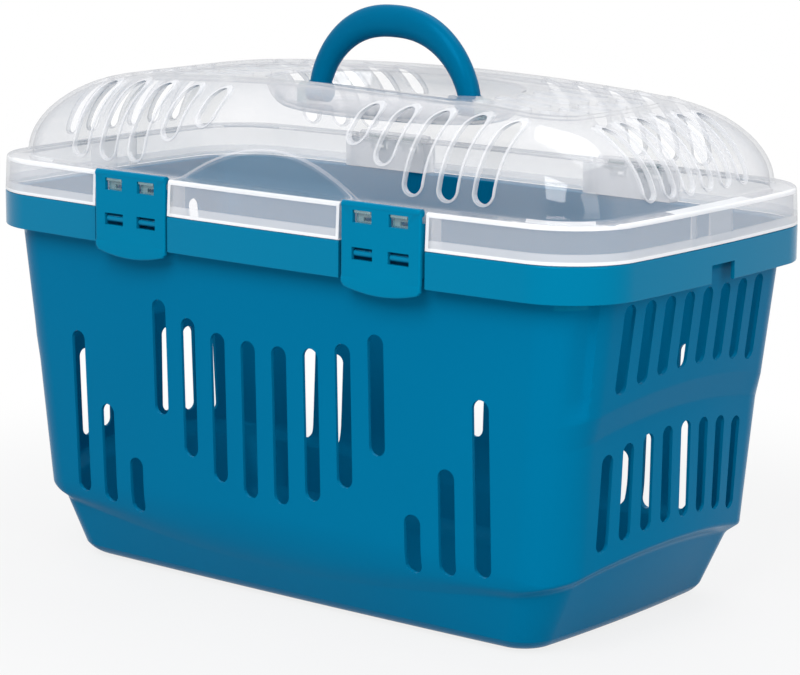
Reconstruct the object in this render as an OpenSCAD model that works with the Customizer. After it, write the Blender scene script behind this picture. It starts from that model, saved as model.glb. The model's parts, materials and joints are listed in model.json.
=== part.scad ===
// Small-animal carrier: a slotted tub, a clear domed lid that opens on its rear clips,
// four snap clips and a carrying handle. Origin at the middle of the underside, +X along
// the length, -Y to the front, +Z up, all in millimetres.

/* [Overall] */
// Length over the lid's skirt
body_l = 400; // [380:1:440]
// Width over the lid's skirt
body_w = 216; // [208:1:236]
// Height of the tub, up to its rim
tub_h = 195; // [180:1:215]
// How far the long sides bow out between the corners
bow_long = 7; // [2:0.5:9]
// How far the end walls bow out between the corners
bow_end = 5; // [2:0.5:7]

/* [Tub] */
// Thickness of the tub's walls
tub_wall = 1.8; // [1.5:0.1:2.6]
// Thickness of the tub's floor
floor_t = 2.6; // [2:0.1:4]
// How far the rim stands out from the end walls
rim_out_end = 9; // [6:0.5:12]
// How far the rim stands out from the long walls
rim_out_long = 8; // [6:0.5:9]
// Slope of the long walls, in mm of lean for each mm of height
slope_long = 0.032; // [0.02:0.002:0.06]
// Slope of the end walls, in mm of lean for each mm of height
slope_end = 0.124; // [0.08:0.002:0.13]
// Corner radius of the tub's walls under the rim
wall_r = 26; // [20:1:34]
// How much the walls' corner radius shrinks down to the ledge
wall_r_less = 5; // [0:0.5:8]
// Height of the ledge that runs round the tub above its foot
ledge_h = 34; // [28:1:40]
// Rise of the ledge at the middle of each end wall
ledge_arch = 14; // [4:0.5:16]
// Width of the sloped ledge at the middle of each end
ledge_w = 7; // [4:0.5:9]
// How far the wall draws in to the foot on the long sides and round the corners
ledge_side = 4.2; // [3:0.2:7]
// How far the flat underside's ends lie inside the end walls' upper edge
foot_in_end = 48.5; // [44:0.5:56]
// How far the flat underside's sides lie inside the long walls' upper edge
foot_in_long = 31.5; // [28:0.5:38]
// Radius where the underside turns up
foot_edge_r = 14; // [8:0.5:16]
// Corner radius of the flat underside
foot_r = 10; // [6:0.5:20]
// Height of the arch on each end wall, at its middle
arch_h = 127.5; // [118:0.5:134]
// Height of the sloped band under the arch
arch_band = 13; // [8:0.5:16]
// How much higher that arch is at its middle than at the tub's corners
arch_rise = 13.5; // [10:0.5:18]
// Depth of the end wall's recess under the arch
arch_in = 2.2; // [1.5:0.1:3]
// Share of that recess that is left at the corners
corner_recess = 0.1; // [0:0.05:1]
// How far the end wall's lower panel bellies out at its foot, at its middle
belly_low = 4; // [0:0.5:5]
// How far it is pulled in just under the arch, at its middle
belly_high = 1.5; // [0:0.5:2.5]

/* [Rim] */
// Height of the rim's turned-down band
rim_h = 18; // [14:0.5:22]
// Thickness of the rim
rim_t = 2; // [1.6:0.1:2.6]
// Corner radius of the rim and the lid's skirt
rim_r = 34; // [30:1:42]
// Width of the rectangular notch in the band at each end
notch_w = 20; // [14:0.5:26]
// Height of that notch
notch_h = 9; // [6:0.5:11]
// Sideways offset of that notch from the middle
notch_off = 5; // [0:0.5:8]

/* [Air slots] */
// Width of the slots in the long walls
slot_w = 9.6; // [7:0.1:11]
// Spacing of the slots in the long walls
slot_pitch = 20.2; // [17:0.1:20.8]
// Spacing of the slots in the rear wall
rear_slot_pitch = 19.6; // [17:0.1:20.4]
// Sideways offset of the rear wall's slots
rear_slot_off = -4; // [-4:0.5:4]
// How much lower the rear wall's slots sit than the front ones
rear_slot_drop = 2.5; // [0:0.5:4]
// Width of the slots in the end walls
end_slot_w = 8.4; // [6:0.1:10]
// Spacing of the slots in the right end wall
end_slot_pitch = 15.9; // [13.5:0.1:16.4]
// Spacing of the slots in the left end wall
left_slot_pitch = 16.6; // [13.5:0.1:16.8]
// Offset of the left end wall's slots from the middle
left_slot_off = -2.5; // [-2.5:0.5:2.5]
// Height of the upper end slots' tops
end_slot_top = 173; // [168:0.5:174.5]
// Height of the upper middle end slots' bottoms
end_slot_bottom = 135; // [132:0.5:142]
// Height of the lower middle end slots' tops
low_slot_top = 106; // [100:0.5:110]
// Length of the lower end slots
low_slot_len = 48; // [38:0.5:50]

/* [Lid] */
// Thickness of the clear lid
lid_t = 1.8; // [1.4:0.1:2.4]
// Height of the lid's skirt
skirt_h = 18; // [16:0.5:22]
// Gap between the tub's rim and the skirt when shut
seat_gap = 0.4; // [0.3:0.05:0.8]
// Width of the shoulder at the lid's ends
shoulder_end = 11; // [8:0.5:15]
// Width of the shoulder along the lid's sides
shoulder_side = 12; // [11:0.5:14]
// Height of the dome above the skirt, at the middle
dome_h = 47; // [40:0.5:54]
// How far the dome's sides and ends curve in to its ridge
dome_in = 45; // [40:0.5:48]
// Drop of the ridge from the middle to the ends
ridge_drop = 6.3; // [3:0.1:9]
// Depth of the flat top below the ridge
panel_in = 2.2; // [1:0.1:3]
// Width of the rounded ridge
ridge_w = 5; // [3:0.5:7]
// Height of the arch pressed into each long side of the dome
side_arch_h = 17; // [10:0.5:20]
// Half length of that arch at the shoulder
side_arch_l = 54; // [44:1:58]
// Depth of that arch
side_arch_in = 1.4; // [0.8:0.1:1.6]
// Corner radius of the dome at its base
dome_r = 24; // [18:1:34]
// Corner radius of the dome at its ridge
ridge_r = 20; // [14:1:26]
// Width of the wide stiffening tab inside the skirt at each end
tab_w = 20; // [14:0.5:24]
// Width of the narrow tab beside it
tab_narrow = 4.5; // [3:0.5:6]
// Thickness of those tabs
tab_t = 1.2; // [0.8:0.1:2]

/* [Lid slots] */
// Width of the slots in the dome
dome_slot_w = 10; // [8:0.1:12]
// Spacing of the slots along the dome's sides
dome_slot_pitch = 20.2; // [18:0.1:20.4]
// Distance from the middle to the first side slot
dome_slot_x = 49; // [46:0.5:50]
// Width of the slots in the dome's ends
dome_end_slot_w = 8; // [6:0.1:9]
// Spacing of the slots in the dome's ends
dome_end_pitch = 16.1; // [14:0.1:16.4]
// Width of the long slots in the top
top_slot_w = 8; // [6:0.1:9]
// Spacing of the long slots in the top
top_slot_pitch = 16; // [13:0.1:17]
// Distance from the middle to the bar between the inner and outer top slots
top_bar_x = 115; // [108:0.5:120]
// Width of that bar
top_bar_w = 6; // [3:0.5:9]

/* [Handle] */
// Half distance between the handle's two feet, centre to centre
handle_x = 49; // [46:0.5:54]
// Sideways offset of the handle and its well from the lid's middle
handle_off = 2.5; // [0:0.5:3]
// Height of the handle's grip above its pivots, at its centre line
handle_rise = 39.2; // [37:0.1:42]
// Radial thickness of the grip at its top
grip_t = 16.5; // [14:0.5:20]
// Radial thickness of the legs at the pivots
leg_t = 11; // [9:0.5:13]
// Depth of the handle, front to back
grip_d = 11; // [9:0.5:14]
// Radius of the handle's pivot pins
pin_r = 2.5; // [2:0.1:3]
// Length of the pins
pin_l = 5; // [4:0.5:6]
// Radial clearance of the pins in their bores
pin_gap = 0.06; // [0.03:0.01:0.1]
// Gap between the handle's feet and the floor of its well
foot_gap = 0.8; // [0.5:0.1:1.5]
// Depth of the well below the flat top, at the middle
well_in = 16; // [14:0.5:18]
// Half length of the well
well_l = 75; // [71:0.5:77]
// Half width of the well
well_w = 42; // [39:0.5:43]

/* [Clips] */
// Distance of the clips from the middle
clip_x = 81; // [74:0.5:88]
// Width of a clip
clip_w = 48; // [42:0.5:52]
// Height of a clip
clip_h = 43.5; // [40:0.5:45]
// Thickness of a clip
clip_t = 2.2; // [1.8:0.1:2.8]
// How far a clip's face stands out from the skirt
clip_proud = 0.9; // [0.4:0.1:1.6]
// Gap at each side of a clip
clip_gap = 1.6; // [1:0.1:2.5]
// Radius of the rod along a clip's top edge
rod_r = 2; // [1.6:0.1:2.4]
// Radial clearance of the rod in the lid's hooks
rod_gap = 0.06; // [0.03:0.01:0.1]
// Wall of the lid's hooks
hook_t = 1.6; // [1.2:0.1:2]
// Distance of the windows from a clip's middle
window_x = 11; // [10:0.5:12]
// Width of the upper windows
window_w = 11.5; // [10:0.1:13]
// Height of the upper windows, below the rod
window_h = 6; // [5:0.1:7.5]
// Width of the lower windows
catch_w = 12.6; // [10:0.1:14]
// Height of the lower windows
catch_h = 6; // [4.5:0.1:7]
// How far the tub's catches stand into the lower windows
catch_in = 1.2; // [0.8:0.1:1.6]
// Depth of the lid's pocket behind each clip
pocket_in = 9; // [8:0.5:10.5]

/* [Hidden] */
$fn = 48;

tub_colour = [0.0, 0.43, 0.62];
clip_colour = [0.0, 0.48, 0.66];
lid_colour = [0.86, 0.88, 0.93, 0.45];

// How much more the long walls bow at the ledge than at the rim
bow_gain = 1.5;
// Height that the ledge slopes over
ledge_slope = 5.5;
// Rise of the lid's shoulder from the skirt to the dome
shoulder_rise = 1.2;
// Places of the tabs inside the skirt, from the middle of the end
tab_y = 6.2;
tab_narrow_y = -17.3;
// Wall of the lugs round the handle's pins, their gap to the feet and the space past a pin's end
lug_wall = 1.8;
lug_gap = 0.4;
pin_end = 0.6;
// How far a clip's top stands above the skirt, and how its windows clear the hooks
clip_over = 1.4;
hook_clear = 0.4;
hook_play = 0.75;
// Width of a clip's side ribs and their height above its bottom edge
rib_w = 2;
rib_low = 9;
// Radius of the catches, their depth below the rim's top and their gap in the windows
catch_r = 1.5;
catch_drop = 5;
catch_side = 0.5;

// Points along an end, a corner and a long side of a quarter outline
n_end = 4;
n_corner = 9;
n_long = 6;

rim_z = tub_h - rim_h;
wall_l = body_l - 2 * rim_out_end;
wall_w = body_w - 2 * rim_out_long;
skirt_z0 = tub_h + seat_gap;
skirt_z1 = skirt_z0 + skirt_h;
skirt_l = body_l / 2;
skirt_w = body_w / 2;
eps = 0.01;

// Quarter of a rounded outline with bowed sides, from the +X end round to the +Y side
function quarter(hl, hw, bl, be, r) =
    let (y0 = hw - bl - r, x1 = hl - be - r,
         p0 = [hl - be * pow(y0 / hw, 2), y0],
         p3 = [x1, hw - bl * pow(x1 / hl, 2)],
         t0 = unit([-2 * be * y0 / pow(hw, 2), 1]),
         t3 = unit([-1, 2 * bl * x1 / pow(hl, 2)]),
         h = 0.5523 * r,
         p1 = p0 + h * t0,
         p2 = p3 - h * t3)
    concat(
        [for (i = [0 : n_end - 1]) let (y = y0 * i / n_end) [hl - be * pow(y / hw, 2), y]],
        [for (i = [0 : n_corner]) bezier(p0, p1, p2, p3, i / n_corner)],
        [for (i = [1 : n_long]) let (x = x1 * (1 - i / n_long)) [x, hw - bl * pow(x / hl, 2)]]);

function unit(v) = v / norm(v);

// Rises smoothly from 0 to 1 as t does
function ease(t) = let (c = min(1, max(0, t))) c * c * (3 - 2 * c);
function bezier(a, b, c, d, t) =
    pow(1 - t, 3) * a + 3 * pow(1 - t, 2) * t * b + 3 * (1 - t) * t * t * c + pow(t, 3) * d;

// Full outline, anticlockwise from the middle of the +X end
function outline(hl, hw, bl, be, r) =
    let (q = quarter(hl, hw, bl, be, r), n = len(q) - 1)
    concat(
        [for (i = [0 : n - 1]) q[i]],
        [for (i = [n : -1 : 1]) [-q[i][0], q[i][1]]],
        [for (i = [0 : n - 1]) [-q[i][0], -q[i][1]]],
        [for (i = [n : -1 : 1]) [q[i][0], -q[i][1]]]);

function lift(points, z) = [for (p = points) [p[0], p[1], z]];

// Solid skinned over a list of rings, its ends closed by strips across the width
module skin(rings) {
    n = len(rings[0]);
    m = len(rings);
    polyhedron(
        points = [for (ring = rings) each ring],
        faces = concat(
            [for (j = [0 : m - 2]) for (i = [0 : n - 1])
                let (a = j * n + i, b = j * n + (i + 1) % n, c = b + n, d = a + n)
                each [[a, c, b], [a, d, c]]],
            strips(n, 0, false),
            strips(n, (m - 1) * n, true)));
}
function strips(n, base, up) =
    [for (i = [0 : n / 2 - 1])
        let (s = i == 0 ? [0, 1, n - 1] : i == n / 2 - 1 ? [i, i + 1, i + 2] : [i, i + 1, n - i - 1, n - i])
        [for (k = [0 : len(s) - 1]) base + s[up ? len(s) - 1 - k : k]]];

// Tub
// Half sizes of the tub's outer wall at height z, before the arch is pressed in
function wall_hl(z) = wall_l / 2 - slope_end * (rim_z - z);
function wall_hw(z) = wall_w / 2 - slope_long * (rim_z - z);
function wall_corner(z) = wall_r - wall_r_less * (rim_z - z) / (rim_z - ledge_h);
function wall_bow(z) = bow_long + bow_gain * (rim_z - z) / (rim_z - ledge_h);

// How much a curved level rises at a point: whole at the middle of an end, none at the sides
function end_share(p, hw) = max(0, 1 - pow(p[1] / hw, 2));
// How much of the end wall's recess a point takes: all across the middle of an end,
// less at the corners, and none along the sides
function recess_share(p, share) =
    ease((abs(p[0]) - (wall_l / 2 - 2.2 * wall_r)) / (1.5 * wall_r))
        * (corner_recess + (1 - corner_recess) * ease(2 * share - 0.3));

// How far the end wall's lower panel stands out from the plain lean at height z, at its middle
belly_z = ledge_h + ledge_arch;
function belly(z) =
    belly_low - (belly_low + belly_high) * (z - belly_z) / (arch_h - arch_band - belly_z);

// Ring of the wall at a level that rises by up to rise at the ends, moved in by inset all round,
// by recess under the arch, and out by out at the middle of the ends
function wall_ring(z, rise, inset, recess, out) =
    let (flat = outline(wall_hl(z) - inset, wall_hw(z) - inset, wall_bow(z), bow_end,
                        wall_corner(z) - inset))
    [for (p = flat)
        let (share = end_share(p, wall_hw(z)),
             zz = z + rise * share,
             k = recess * recess_share(p, share) - out * pow(share, 2),
             sx = (wall_hl(zz) - inset - k) / (wall_hl(z) - inset),
             sy = (wall_hw(zz) - inset - 0.35 * max(0, k)) / (wall_hw(z) - inset))
        [p[0] * sx, p[1] * sy, zz]];

arch_z = arch_h - arch_rise;
mid_z = 0.5 * (ledge_h + arch_z - arch_band);
mid_rise = 0.5 * (ledge_arch + arch_rise);
foot_turn = [0, 20, 40, 58];
foot_l = wall_l / 2 - foot_in_end;
foot_w = wall_w / 2 - foot_in_long;

// Foot of the tub: a rounded edge, a steep bevel and the sloped ledge
foot_top_z = ledge_h - ledge_slope;
function foot_ring(a, inset, base_z) =
    let (out = foot_edge_r * sin(a) - inset)
    lift(outline(foot_l + out, foot_w + out, 2, 3, foot_r + out / 2), base_z + foot_edge_r * (1 - cos(a)));
function ledge_ring(inset, base_z) =
    let (z = foot_top_z,
         hl = wall_hl(z) - ledge_side - inset)
    [for (p = outline(hl, wall_hw(z) - ledge_side - inset, wall_bow(z), bow_end,
                      wall_corner(z) - ledge_side / 2 - inset))
        let (share = end_share(p, wall_hw(z)),
             zz = z + ledge_arch * share,
             less = ledge_side + (ledge_w - ledge_side) * min(1, 1.4 * share),
             sx = (wall_hl(zz) - less - inset + belly_low * pow(share, 2)) / hl)
        [p[0] * sx, p[1], zz + base_z]];

function tub_rings(inset, base_z) =
    concat(
        [for (a = foot_turn) foot_ring(a, inset, base_z)],
        [ledge_ring(inset, base_z),
         wall_ring(ledge_h + base_z, ledge_arch, inset, 0, belly_low),
         wall_ring(mid_z + base_z / 2, mid_rise, inset, arch_in / 2, belly(mid_z + mid_rise)),
         wall_ring(arch_z - arch_band, arch_rise, inset, arch_in, -belly_high),
         wall_ring(arch_z, arch_rise, inset, 0, 0)]);

function rim_ring(z, inset) =
    lift(outline(skirt_l - inset, skirt_w - inset, bow_long, bow_end, rim_r - inset), z);

module tub_shell() {
    outer = tub_rings(0, 0);
    inner = tub_rings(tub_wall, floor_t);
    skin(concat(
        outer,
        [wall_ring(0.5 * (arch_h + rim_z), 0, 0, 0, 0),
         wall_ring(tub_h - rim_t, 0, 0, 0, 0),
         rim_ring(tub_h - rim_t, rim_t),
         rim_ring(rim_z, rim_t),
         rim_ring(rim_z, 0),
         rim_ring(tub_h - 0.8, 0),
         rim_ring(tub_h, 0.8),
         wall_ring(tub_h, 0, tub_wall, 0, 0),
         wall_ring(0.5 * (arch_h + rim_z), 0, tub_wall, 0, 0)],
        [for (i = [len(inner) - 1 : -1 : 0]) inner[i]]));
}

// Long-wall slots, as [bottom, top] from the middle one outwards
side_slots = [[56, 136.5], [61, 138], [71, 143], [90, 150], [34.5, 64], [36.5, 89.5], [39, 126]];

// Upright slot through a wall, centred on x, cut along Y
module slot_y(x, z0, z1, w, y0, y1) {
    translate([x, y1, 0])
        rotate([90, 0, 0])
            linear_extrude(y1 - y0) stadium(w, z0, z1);
}
module slot_x(y, z0, z1, w, x0, x1) {
    translate([x0, y, 0])
        rotate([90, 0, 90])
            linear_extrude(x1 - x0) stadium(w, z0, z1);
}
module stadium(w, z0, z1) {
    translate([-w / 2, z0 + w / 2]) square([w, z1 - z0 - w]);
    translate([0, z0 + w / 2]) circle(d = w);
    translate([0, z1 - w / 2]) circle(d = w);
}

module tub_slots() {
    for (i = [0 : len(side_slots) - 1])
        for (s = [-1, 1]) {
            slot_y(s * slot_pitch * (i + 0.5), side_slots[i][0], side_slots[i][1],
                   slot_w, -wall_w / 2 - 2, 0);
            slot_y(s * rear_slot_pitch * (i + 0.5) + rear_slot_off, side_slots[i][0] - rear_slot_drop,
                   side_slots[i][1] - rear_slot_drop, slot_w, 0, wall_w / 2 + 2);
        }
    for (j = [0 : 3])
        for (s = [-1, 1]) {
            end_slot_pair(s * end_slot_pitch * (j + 0.5), pow(j + 0.5, 2), 0, wall_l / 2 + 2);
            end_slot_pair(s * left_slot_pitch * (j + 0.5) + left_slot_off, pow(j + 0.5, 2),
                          -wall_l / 2 - 2, 0);
        }
}
// An upper and a lower slot in an end wall, drop mm below the middle ones
module end_slot_pair(y, drop, x0, x1) {
    slot_x(y, end_slot_bottom - 0.45 * drop, end_slot_top, end_slot_w, x0, x1);
    slot_x(y, low_slot_top - low_slot_len - 0.5 * drop, low_slot_top - 0.5 * drop, end_slot_w, x0, x1);
}

// Clips
function skirt_y(x) = skirt_w - bow_long * pow(x / skirt_l, 2);
clip_face = skirt_y(clip_x) + clip_proud;
rod_y = clip_face - rod_r;
clip_top = skirt_z1 + clip_over;
rod_z = clip_top - rod_r;
clip_bottom = clip_top - clip_h;
catch_z = tub_h - catch_drop;
bay_w = clip_w + 2 * clip_gap;
wall_y_at_clip = wall_hw(tub_h) - wall_bow(tub_h) * pow(clip_x / wall_hl(tub_h), 2);

// Runs its children at all four clips, each turned so that -Y is outwards
module at_clips() {
    for (side = [0, 180])
        for (s = [-1, 1])
            rotate([0, 0, side])
                translate([s * clip_x, 0, 0])
                    children();
}

module base_tub() {
    color(tub_colour)
    difference() {
        union() {
            difference() {
                tub_shell();
                at_clips()
                    translate([-bay_w / 2, -body_w / 2 - 1, rim_z - 1])
                        cube([bay_w, body_w / 2 + 1 - wall_y_at_clip, rim_h + 2]);
            }
            at_clips()
                tub_catches();
        }
        tub_slots();
        for (s = [-1, 1])
            translate([s * body_l / 2 - 6, s * notch_off - notch_w / 2, rim_z - 1])
                cube([12, notch_w, notch_h + 1]);
    }
}

// Bars on the tub's wall that the lower windows of a clip snap over
module tub_catches() {
    for (s = [-1, 1])
        translate([s * window_x - catch_w / 2 + catch_side, 0, 0]) {
            axis_y = -clip_face + clip_t - catch_in + catch_r;
            bar_l = catch_w - 2 * catch_side;
            translate([0, axis_y, catch_z - catch_r])
                cube([bar_l, -wall_y_at_clip + 1 - axis_y, 2 * catch_r]);
            translate([0, axis_y, catch_z])
                rotate([0, 90, 0])
                    cylinder(r = catch_r, h = bar_l);
        }
}

module clip() {
    difference() {
        union() {
            translate([0, -clip_face + clip_t, 0])
                rotate([90, 0, 0])
                    linear_extrude(clip_t) clip_outline();
            for (s = [-1, 1])
                translate([s * (clip_w - rib_w) / 2 - rib_w / 2, -clip_face + clip_t - eps,
                           clip_bottom + rib_low])
                    cube([rib_w, rib_w, clip_h - rib_low - 2 * rod_r]);
        }
        for (s = [-1, 1])
            translate([s * window_x, 0, 0]) {
                translate([-window_w / 2, -clip_face - 1, rod_z - rod_r - window_h])
                    cube([window_w, clip_t + 2, window_h]);
                translate([-window_w / 2, -rod_y, rod_z])
                    rotate([0, 90, 0])
                        cylinder(r = rod_r + rod_gap + hook_t + hook_clear, h = window_w);
                translate([-catch_w / 2, -clip_face - 1, catch_z - catch_h / 2])
                    cube([catch_w, clip_t + 2, catch_h]);
            }
    }
    translate([-clip_w / 2, -rod_y, rod_z])
        rotate([0, 90, 0])
            cylinder(r = rod_r, h = clip_w);
}
module clip_outline() {
    sag = 3.5;
    half = clip_w / 2;
    arc_r = (pow(half, 2) + pow(sag, 2)) / (2 * sag);
    intersection() {
        translate([-half, clip_bottom]) square([clip_w, rod_z - clip_bottom]);
        translate([0, clip_bottom + arc_r]) circle(r = arc_r, $fn = 180);
    }
}

module front_left_clip() { color(clip_colour) translate([-clip_x, 0, 0]) clip(); }
module front_right_clip() { color(clip_colour) translate([clip_x, 0, 0]) clip(); }
module rear_left_clip() { color(lid_colour) rotate([0, 0, 180]) translate([clip_x, 0, 0]) clip(); }
module rear_right_clip() { color(lid_colour) rotate([0, 0, 180]) translate([-clip_x, 0, 0]) clip(); }

// Lid
dome_l = skirt_l - shoulder_end;
dome_w = skirt_w - shoulder_side;
dome_z = skirt_z1 + shoulder_rise;
ridge_l = dome_l - dome_in;
ridge_hw = dome_w - dome_in;
ridge_z = dome_z + dome_h;
function crown(x) = ridge_drop * pow(x / ridge_l, 2);
dome_turn = [4, 12, 20, 28, 36, 44, 52, 60, 68, 76, 84];

// How far the arch is pressed in at a point of a long side of the dome
function side_arch(x, z) =
    side_arch_in * ease((side_arch_h * (1 - pow(x / side_arch_l, 2)) - (z - dome_z)) / 4);

// Ring of the dome at an angle up its curve, from 0 at its base to 90 at the ridge
function dome_ring(a, inset) =
    let (hl = ridge_l + (dome_in - inset) * cos(a), hw = ridge_hw + (dome_in - inset) * cos(a),
         r = ridge_r + (dome_r - ridge_r) * cos(a) - inset / 2)
    [for (p = outline(hl, hw, 1.5 + (bow_long - 1.5) * cos(a), 1.5 + (bow_end - 1.5) * cos(a), r))
        let (z = dome_z + (dome_h - inset - crown(p[0])) * sin(a),
             k = abs(p[0]) < side_arch_l ? side_arch(p[0], z) : 0)
        [p[0], p[1] - sign(p[1]) * k, z]];
function panel_ring(inset) =
    [for (p = outline(ridge_l - ridge_w + inset, ridge_hw - ridge_w + inset, 1.5, 1.5, ridge_r - 2))
        [p[0], p[1], ridge_z - panel_in - inset - crown(p[0])]];

function skirt_ring(z, inset) =
    lift(outline(skirt_l - inset, skirt_w - inset, bow_long, bow_end, rim_r - inset), z);
function lid_outer() =
    concat(
        [skirt_ring(skirt_z0, 0), skirt_ring(skirt_z1 - 1.8, 0.5), skirt_ring(skirt_z1 - 0.4, 1.1),
         skirt_ring(skirt_z1 + 0.3, 2.6),
         lift(outline(dome_l + 0.8, dome_w + 0.8, bow_long, bow_end, dome_r + 1), dome_z - 0.6)],
        [for (a = dome_turn) dome_ring(a, 0)],
        [dome_ring(90, 0), panel_ring(0)]);
function lid_inner() =
    concat(
        [skirt_ring(skirt_z0, lid_t), skirt_ring(skirt_z1 - lid_t, lid_t + 0.6),
         lift(outline(dome_l - lid_t, dome_w - lid_t, bow_long, bow_end, dome_r - 1),
              skirt_z1 - lid_t + 0.4)],
        [for (a = dome_turn) dome_ring(a, lid_t)],
        [dome_ring(90, lid_t), panel_ring(lid_t)]);
module lid_shell() {
    inner = lid_inner();
    skin(concat([for (i = [len(inner) - 1 : -1 : 0]) inner[i]], lid_outer()));
}
module lid_solid() {
    skin(lid_outer());
}

// Side slots of the dome, as [bottom, top] heights above its base, from the inner one outwards
top_rows = 2;
dome_slots = [[25, 42], [17, 42], [4.5, 41.5], [3.5, 41], [3.5, 39.5]];

// Tabs inside the skirt's two ends
module skirt_tabs() {
    for (side = [0, 180])
        rotate([0, 0, side])
            for (tab = [[tab_y, tab_w], [tab_narrow_y, tab_narrow]])
                translate([skirt_l - lid_t - tab_t - 0.3, tab[0] - tab[1] / 2, skirt_z0])
                    cube([lid_t / 2 + tab_t, tab[1], skirt_h - lid_t]);
}

module dome_cuts() {
    for (side = [-1, 1])
        for (s = [-1, 1]) {
            for (i = [0 : len(dome_slots) - 1])
                slot_y(s * (dome_slot_x + dome_slot_pitch * i),
                       dome_z + dome_slots[i][0], dome_z + dome_slots[i][1], dome_slot_w,
                       side > 0 ? ridge_hw + 6 : -body_w / 2, side > 0 ? body_w / 2 : -ridge_hw - 6);
            for (j = [0 : 2])
                slot_x(side * dome_end_pitch * (j + 0.5), dome_z + 5, dome_z + 38 - j * 0.6,
                       dome_end_slot_w,
                       s > 0 ? ridge_l + 6 : -body_l / 2, s > 0 ? body_l / 2 : -ridge_l - 6);
        }
    for (s = [-1, 1])
        for (j = [-top_rows : top_rows]) {
            short = 1.5 * abs(j);
            top_slot(s, top_slot_pitch * j, well_l + 6 - short, top_bar_x - top_bar_w / 2);
            top_slot(s, top_slot_pitch * j, top_bar_x + top_bar_w / 2, ridge_l - ridge_w - 3 - short);
        }
}
module top_slot(s, y, x0, x1) {
    translate([s * (x0 + x1) / 2, y, ridge_z - 20])
        linear_extrude(25) {
            square([x1 - x0 - top_slot_w, top_slot_w], center = true);
            for (e = [-1, 1])
                translate([e * (x1 - x0 - top_slot_w) / 2, 0]) circle(d = top_slot_w);
        }
}

// Well in the lid's top that takes the handle's feet
well_z = ridge_z - panel_in - well_in;
pivot_z = well_z + grip_d / 2 + foot_gap;
lug_r = pin_r + lug_wall;
lug_x0 = handle_x + leg_t / 2 + lug_gap;
lug_t = pin_l + 2 * pin_end;
module well_area(grow) {
    n = 48;
    polygon([for (i = [0 : n - 1]) let (a = 360 * i / n)
        [(well_l + grow) * sign(cos(a)) * pow(abs(cos(a)), 0.8),
         (well_w + grow) * sign(sin(a)) * pow(abs(sin(a)), 0.8)]]);
}
module handle_lugs() {
    for (s = [-1, 1])
        translate([handle_off + (s > 0 ? lug_x0 : -lug_x0 - lug_t), 0, 0])
            difference() {
                union() {
                    translate([0, 0, pivot_z])
                        rotate([0, 90, 0]) cylinder(r = lug_r, h = lug_t);
                    translate([0, -lug_r, well_z - eps])
                        cube([lug_t, 2 * lug_r, pivot_z - well_z + eps]);
                }
                translate([s > 0 ? -1 : lug_t - pin_l - pin_end, 0, pivot_z])
                    rotate([0, 90, 0])
                        cylinder(r = pin_r + pin_gap, h = pin_l + pin_end + 1);
            }
}

// Pocket behind a clip, with two hooks that hold the clip's rod
module pocket_block() {
    translate([-bay_w / 2 - lid_t, -skirt_w, skirt_z0])
        cube([bay_w + 2 * lid_t, pocket_in + lid_t + skirt_w - skirt_y(clip_x), skirt_h + 1]);
}
module pocket_void() {
    back = skirt_y(clip_x) - pocket_in;
    translate([-bay_w / 2, -skirt_w - 1, skirt_z0 - 1])
        cube([bay_w, skirt_w + 1 - back, skirt_h + 1 - lid_t]);
    translate([-bay_w / 2, -skirt_w - 1, skirt_z0 + 1])
        cube([bay_w, skirt_w + 1 - rod_y + rod_r + 1.2, skirt_h + 6]);
}
module rod_hooks() {
    hook_w = window_w - 2 * hook_play;
    back = skirt_y(clip_x) - pocket_in;
    inner = rod_r + rod_gap;
    for (s = [-1, 1])
        translate([s * window_x - hook_w / 2, -rod_y, rod_z]) {
            rotate([0, 90, 0])
                rotate_extrude(angle = 190, start = -35)
                    translate([inner, 0]) square([hook_t, hook_w]);
            translate([0, 0, -inner - hook_t])
                cube([hook_w, rod_y - back + eps, hook_t]);
        }
}

module lid() {
    color(lid_colour)
    difference() {
        union() {
            difference() {
                union() {
                    lid_shell();
                    intersection() {
                        lid_solid();
                        union() {
                            translate([0, 0, well_z - lid_t])
                                linear_extrude(well_in + 10) translate([handle_off, 0]) well_area(lid_t);
                            at_clips() pocket_block();
                            skirt_tabs();
                        }
                    }
                }
                translate([0, 0, well_z])
                    linear_extrude(well_in + 20) translate([handle_off, 0]) well_area(0);
                at_clips() pocket_void();
            }
            handle_lugs();
            at_clips() rod_hooks();
        }
        dome_cuts();
    }
}

// Handle: an arch of oval section that is thickest at the grip, on two round feet
function handle_ring(c, nrm, h) =
    let (m = 20)
    [for (k = [0 : m - 1]) let (b = 360 * k / m)
        [c[0] + nrm[0] * h * cos(b), grip_d / 2 * sin(b), c[1] + nrm[1] * h * cos(b)]];
function handle_arch(n) =
    [for (i = [0 : n])
        let (a = 180 * i / n,
             t = unit([-handle_x * sin(a), handle_rise * cos(a)]))
        handle_ring([handle_x * sign(cos(a)) * pow(abs(cos(a)), 0.86), handle_rise * pow(sin(a), 1.22)],
                    [t[1], -t[0]], leg_t / 2 + (grip_t - leg_t) / 2 * pow(sin(a), 1.6))];
module handle() {
    color(tub_colour)
    translate([handle_off, 0, pivot_z]) {
        skin(handle_arch(40));
        for (s = [-1, 1]) {
            translate([s * handle_x - leg_t / 2, 0, 0])
                rotate([0, 90, 0])
                    cylinder(r = grip_d / 2, h = leg_t);
            translate([s > 0 ? handle_x : -handle_x - leg_t / 2 - lug_gap - pin_l, 0, 0])
                rotate([0, 90, 0])
                    cylinder(r = pin_r, h = leg_t / 2 + lug_gap + pin_l);
        }
    }
}

base_tub();
lid();
handle();
front_left_clip();
front_right_clip();
rear_left_clip();
rear_right_clip();
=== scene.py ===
import math
import json
import bmesh
import bpy
from mathutils import Vector, Matrix

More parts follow.
